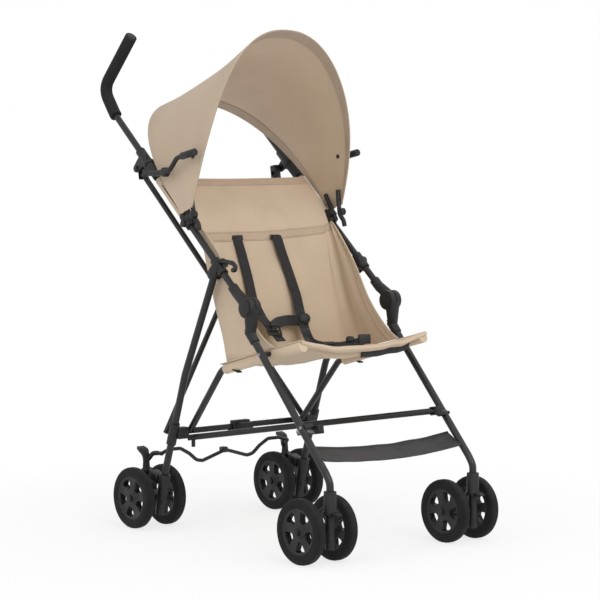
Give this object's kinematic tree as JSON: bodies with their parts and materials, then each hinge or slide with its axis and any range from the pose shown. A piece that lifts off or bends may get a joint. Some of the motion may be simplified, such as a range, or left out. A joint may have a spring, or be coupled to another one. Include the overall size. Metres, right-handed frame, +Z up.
{
  "type": "stroller",
  "caption": "Lightweight umbrella-fold stroller: bent-handle tube frame, twin swivel front wheels, beige sling seat with harness, stretched hood and crossed rear tubes",
  "frame": {"origin": "centre of the bounding box at floor level", "axes": "+Z up, front of the stroller towards -Y, X across the width"},
  "size_m": [0.4926, 0.7818, 1.0549],
  "materials": {
    "frame_paint": "satin black powder coat",
    "plastic": "matt moulded",
    "grip_foam": "fine-grained foam",
    "tyre": "matt foam",
    "fabric": "woven polyester",
    "webbing": "ribbed webbing"
  },
  "bodies": {
    "right_frame": {"handle_tube_r": "frame_paint", "grip_r": "grip_foam", "handle_collar_r": "plastic", "rear_pivot_bracket_r": "plastic", "hinge_upper_r": "plastic", "canopy": "fabric", "seat_sling": "fabric", "harness": "webbing"},
    "left_frame": {"handle_tube_l": "frame_paint", "grip_l": "grip_foam", "handle_collar_l": "plastic", "rear_pivot_bracket_l": "plastic", "hinge_upper_l": "plastic"},
    "rear_leg_r": {"rear_leg_r": "frame_paint", "rear_housing_r": "plastic", "rear_bracket_r": "plastic"},
    "wheel_rear_outer_r": {"wheel_rear_outer_r": "tyre"},
    "wheel_rear_inner_r": {"wheel_rear_inner_r": "tyre"},
    "brake_pedal_r": {"brake_pedal_r": "plastic"},
    "brake_rod_r": {"brake_rod_r": "frame_paint"},
    "rear_bar_r": {"rear_bar_r": "frame_paint"},
    "seat_rail_r": {"seat_rail_r": "frame_paint"},
    "front_leg_r": {"hinge_lower_r": "plastic", "front_leg_r": "frame_paint", "caster_housing_r": "plastic", "footrest_strap": "webbing"},
    "caster_r": {"caster_fork_r": "plastic"},
    "swivel_lock_r": {"swivel_lock_tab_r": "plastic"},
    "wheel_front_outer_r": {"wheel_front_outer_r": "tyre"},
    "wheel_front_inner_r": {"wheel_front_inner_r": "tyre"},
    "lower_knuckle_r": {"lower_knuckle_r": "plastic"},
    "lower_bar_r": {"lower_bar_r": "frame_paint"},
    "cross_cap_r": {"cross_cap_r": "plastic"},
    "cross_tube_r": {"cross_tube_r": "frame_paint"},
    "rear_leg_l": {"rear_leg_l": "frame_paint", "rear_housing_l": "plastic", "rear_bracket_l": "plastic"},
    "wheel_rear_outer_l": {"wheel_rear_outer_l": "tyre"},
    "wheel_rear_inner_l": {"wheel_rear_inner_l": "tyre"},
    "brake_pedal_l": {"brake_pedal_l": "plastic"},
    "brake_rod_l": {"brake_rod_l": "frame_paint"},
    "rear_bar_l": {"rear_bar_l": "frame_paint"},
    "seat_rail_l": {"seat_rail_l": "frame_paint"},
    "front_leg_l": {"hinge_lower_l": "plastic", "front_leg_l": "frame_paint", "caster_housing_l": "plastic"},
    "caster_l": {"caster_fork_l": "plastic"},
    "swivel_lock_l": {"swivel_lock_tab_l": "plastic"},
    "wheel_front_outer_l": {"wheel_front_outer_l": "tyre"},
    "wheel_front_inner_l": {"wheel_front_inner_l": "tyre"},
    "lower_knuckle_l": {"lower_knuckle_l": "plastic"},
    "lower_bar_l": {"lower_bar_l": "frame_paint"},
    "cross_cap_l": {"cross_cap_l": "plastic"},
    "cross_tube_l": {"cross_tube_l": "frame_paint"},
    "bar_lock": {"bar_lock": "plastic"},
    "hood_bow": {"hood_bow": "fabric"},
    "stay_rear_r": {"hood_stay_rear_r": "plastic"},
    "stay_front_r": {"hood_stay_front_r": "plastic"},
    "stay_rear_l": {"hood_stay_rear_l": "plastic"},
    "stay_front_l": {"hood_stay_front_l": "plastic"}
  },
  "joints": [
    {"name": "frame_fold", "type": "slide", "parent": "right_frame", "child": "left_frame", "axis": [-1, 0, 0], "range_m": [0, 0.276], "deforming": ["canopy", "seat_sling", "harness", "footrest_strap", "hood_bow"]},
    {"name": "rear_leg_fold_r", "type": "hinge", "parent": "right_frame", "child": "rear_leg_r", "pos_m": [-0.193, -0.0024, 0.548], "axis": [1, 0, 0], "range_deg": [-50.01, 0]},
    {"name": "spin_rear_outer_r", "type": "hinge", "parent": "rear_leg_r", "child": "wheel_rear_outer_r", "pos_m": [-0.234, 0.2256, 0.065], "axis": [1, 0, 0], "continuous": true},
    {"name": "spin_rear_inner_r", "type": "hinge", "parent": "rear_leg_r", "child": "wheel_rear_inner_r", "pos_m": [-0.152, 0.2256, 0.065], "axis": [1, 0, 0], "continuous": true},
    {"name": "brake_press", "type": "hinge", "parent": "rear_leg_r", "child": "brake_pedal_r", "pos_m": [-0.193, 0.2346, 0.118], "axis": [-1, 0, 0], "range_deg": [0, 18]},
    {"name": "rod_fold_r", "type": "hinge", "parent": "brake_pedal_r", "child": "brake_rod_r", "pos_m": [-0.174, 0.2106, 0.156], "axis": [0, 1, 0], "range_deg": [-80.01, 0]},
    {"name": "rear_bar_fold_r", "type": "hinge", "parent": "rear_leg_r", "child": "rear_bar_r", "pos_m": [-0.174, 0.1606, 0.207], "axis": [0, 1, 0], "range_deg": [-80.01, 0]},
    {"name": "seat_rail_fold_r", "type": "hinge", "parent": "rear_leg_r", "child": "seat_rail_r", "pos_m": [-0.154, 0.1326, 0.212], "axis": [1, 0, 0], "range_deg": [-10.21, 0]},
    {"name": "front_leg_fold_r", "type": "hinge", "parent": "right_frame", "child": "front_leg_r", "pos_m": [-0.193, -0.1204, 0.485], "axis": [1, 0, 0], "range_deg": [-7.01, 0]},
    {"name": "caster_swivel_r", "type": "hinge", "parent": "front_leg_r", "child": "caster_r", "pos_m": [-0.193, -0.3624, 0.09], "axis": [0, 0, 1], "continuous": true},
    {"name": "swivel_lock_tip_r", "type": "hinge", "parent": "front_leg_r", "child": "swivel_lock_r", "pos_m": [-0.193, -0.3804, 0.1015], "axis": [1, 0, 0], "range_deg": [0, 20]},
    {"name": "spin_front_outer_r", "type": "hinge", "parent": "caster_r", "child": "wheel_front_outer_r", "pos_m": [-0.234, -0.3244, 0.065], "axis": [1, 0, 0], "continuous": true},
    {"name": "spin_front_inner_r", "type": "hinge", "parent": "caster_r", "child": "wheel_front_inner_r", "pos_m": [-0.152, -0.3244, 0.065], "axis": [1, 0, 0], "continuous": true},
    {"name": "lower_knuckle_fold_r", "type": "hinge", "parent": "front_leg_r", "child": "lower_knuckle_r", "pos_m": [-0.171, -0.2829, 0.26], "axis": [1, 0, 0], "range_deg": [0, 78.01]},
    {"name": "lower_bar_fold_r", "type": "hinge", "parent": "lower_knuckle_r", "child": "lower_bar_r", "pos_m": [-0.161, -0.28395, 0.25379], "axis": [0, 0.1661, 0.9861], "range_deg": [0, 32.51]},
    {"name": "cross_cap_fold_r", "type": "hinge", "parent": "right_frame", "child": "cross_cap_r", "pos_m": [-0.193, 0.25847, 0.76282], "axis": [1, 0, 0], "range_deg": [-10.01, 0]},
    {"name": "cross_tube_fold_r", "type": "hinge", "parent": "cross_cap_r", "child": "cross_tube_r", "pos_m": [-0.1875, 0.24998, 0.75002], "axis": [0, -0.9868, 0.1619], "range_deg": [-25.61, 0]},
    {"name": "rear_leg_fold_l", "type": "hinge", "parent": "left_frame", "child": "rear_leg_l", "pos_m": [0.193, -0.0024, 0.548], "axis": [1, 0, 0], "range_deg": [-50.01, 0]},
    {"name": "spin_rear_outer_l", "type": "hinge", "parent": "rear_leg_l", "child": "wheel_rear_outer_l", "pos_m": [0.234, 0.2256, 0.065], "axis": [1, 0, 0], "continuous": true},
    {"name": "spin_rear_inner_l", "type": "hinge", "parent": "rear_leg_l", "child": "wheel_rear_inner_l", "pos_m": [0.152, 0.2256, 0.065], "axis": [1, 0, 0], "continuous": true},
    {"name": "brake_press_l", "type": "hinge", "parent": "rear_leg_l", "child": "brake_pedal_l", "pos_m": [0.193, 0.2346, 0.118], "axis": [-1, 0, 0], "range_deg": [0, 18.01]},
    {"name": "rod_fold_l", "type": "hinge", "parent": "brake_pedal_l", "child": "brake_rod_l", "pos_m": [0.174, 0.2106, 0.156], "axis": [0, 1, 0], "range_deg": [0, 80.01]},
    {"name": "rear_bar_fold_l", "type": "hinge", "parent": "rear_leg_l", "child": "rear_bar_l", "pos_m": [0.174, 0.1606, 0.207], "axis": [0, 1, 0], "range_deg": [0, 80.01]},
    {"name": "seat_rail_fold_l", "type": "hinge", "parent": "rear_leg_l", "child": "seat_rail_l", "pos_m": [0.154, 0.1326, 0.212], "axis": [1, 0, 0], "range_deg": [-10.21, 0]},
    {"name": "front_leg_fold_l", "type": "hinge", "parent": "left_frame", "child": "front_leg_l", "pos_m": [0.193, -0.1204, 0.485], "axis": [1, 0, 0], "range_deg": [-7.01, 0]},
    {"name": "caster_swivel_l", "type": "hinge", "parent": "front_leg_l", "child": "caster_l", "pos_m": [0.193, -0.3624, 0.09], "axis": [0, 0, 1], "continuous": true},
    {"name": "swivel_lock_tip_l", "type": "hinge", "parent": "front_leg_l", "child": "swivel_lock_l", "pos_m": [0.193, -0.3804, 0.1015], "axis": [1, 0, 0], "range_deg": [0, 20]},
    {"name": "spin_front_outer_l", "type": "hinge", "parent": "caster_l", "child": "wheel_front_outer_l", "pos_m": [0.234, -0.3244, 0.065], "axis": [1, 0, 0], "continuous": true},
    {"name": "spin_front_inner_l", "type": "hinge", "parent": "caster_l", "child": "wheel_front_inner_l", "pos_m": [0.152, -0.3244, 0.065], "axis": [1, 0, 0], "continuous": true},
    {"name": "lower_knuckle_fold_l", "type": "hinge", "parent": "front_leg_l", "child": "lower_knuckle_l", "pos_m": [0.171, -0.2829, 0.26], "axis": [1, 0, 0], "range_deg": [0, 78.01]},
    {"name": "lower_bar_fold_l", "type": "hinge", "parent": "lower_knuckle_l", "child": "lower_bar_l", "pos_m": [0.161, -0.28185, 0.26621], "axis": [0, 0.1661, 0.9861], "range_deg": [-32.51, 0]},
    {"name": "cross_cap_fold_l", "type": "hinge", "parent": "left_frame", "child": "cross_cap_l", "pos_m": [0.193, 0.25847, 0.76282], "axis": [1, 0, 0], "range_deg": [-10.01, 0]},
    {"name": "cross_tube_fold_l", "type": "hinge", "parent": "cross_cap_l", "child": "cross_tube_l", "pos_m": [0.1875, 0.26242, 0.74798], "axis": [0, -0.9868, 0.1619], "range_deg": [0, 25.61]},
    {"name": "bar_lock_tip", "type": "hinge", "parent": "rear_bar_r", "child": "bar_lock", "pos_m": [0, 0.1526, 0.207], "axis": [1, 0, 0], "range_deg": [0, 20]},
    {"name": "hood_fold", "type": "hinge", "parent": "right_frame", "child": "hood_bow", "pos_m": [0, 0.0876, 0.65], "axis": [-1, 0, 0], "range_deg": [0, 50], "deforming": ["canopy"]},
    {"name": "stay_rear_fold_r", "type": "hinge", "parent": "right_frame", "child": "stay_rear_r", "pos_m": [-0.217, 0.2006, 0.754], "axis": [1, 0, 0], "range_deg": [-108.46, 0]},
    {"name": "stay_front_fold_r", "type": "hinge", "parent": "stay_rear_r", "child": "stay_front_r", "pos_m": [-0.2206, 0.1306, 0.756], "axis": [1, 0, 0], "range_deg": [-172.11, 0]},
    {"name": "stay_rear_fold_l", "type": "hinge", "parent": "left_frame", "child": "stay_rear_l", "pos_m": [0.217, 0.2006, 0.754], "axis": [1, 0, 0], "range_deg": [-108.46, 0]},
    {"name": "stay_front_fold_l", "type": "hinge", "parent": "stay_rear_l", "child": "stay_front_l", "pos_m": [0.2206, 0.1306, 0.756], "axis": [1, 0, 0], "range_deg": [-172.11, 0]}
  ],
  "couplings": [
    {"joint": "rear_leg_fold_r", "follows": "frame_fold", "rad_per_m": -3.1618},
    {"joint": "rod_fold_r", "follows": "frame_fold", "rad_per_m": -5.0589},
    {"joint": "rear_bar_fold_r", "follows": "frame_fold", "rad_per_m": -5.0589},
    {"joint": "seat_rail_fold_r", "follows": "frame_fold", "rad_per_m": -0.64501},
    {"joint": "front_leg_fold_r", "follows": "frame_fold", "rad_per_m": -0.44266},
    {"joint": "lower_knuckle_fold_r", "follows": "frame_fold", "rad_per_m": 4.9325},
    {"joint": "lower_bar_fold_r", "follows": "frame_fold", "rad_per_m": 2.0552},
    {"joint": "cross_cap_fold_r", "follows": "frame_fold", "rad_per_m": -0.63237},
    {"joint": "cross_tube_fold_r", "follows": "frame_fold", "rad_per_m": -1.6189},
    {"joint": "rear_leg_fold_l", "follows": "frame_fold", "rad_per_m": -3.1618},
    {"joint": "brake_press_l", "follows": "brake_press", "ratio": 1},
    {"joint": "rod_fold_l", "follows": "frame_fold", "rad_per_m": 5.0589},
    {"joint": "rear_bar_fold_l", "follows": "frame_fold", "rad_per_m": 5.0589},
    {"joint": "seat_rail_fold_l", "follows": "frame_fold", "rad_per_m": -0.64501},
    {"joint": "front_leg_fold_l", "follows": "frame_fold", "rad_per_m": -0.44266},
    {"joint": "lower_knuckle_fold_l", "follows": "frame_fold", "rad_per_m": 4.9325},
    {"joint": "lower_bar_fold_l", "follows": "frame_fold", "rad_per_m": -2.0552},
    {"joint": "cross_cap_fold_l", "follows": "frame_fold", "rad_per_m": -0.63237},
    {"joint": "cross_tube_fold_l", "follows": "frame_fold", "rad_per_m": 1.6189},
    {"joint": "stay_rear_fold_r", "follows": "hood_fold", "ratio": -2.1689},
    {"joint": "stay_front_fold_r", "follows": "hood_fold", "ratio": -3.442},
    {"joint": "stay_rear_fold_l", "follows": "hood_fold", "ratio": -2.1689},
    {"joint": "stay_front_fold_l", "follows": "hood_fold", "ratio": -3.442}
  ]
}
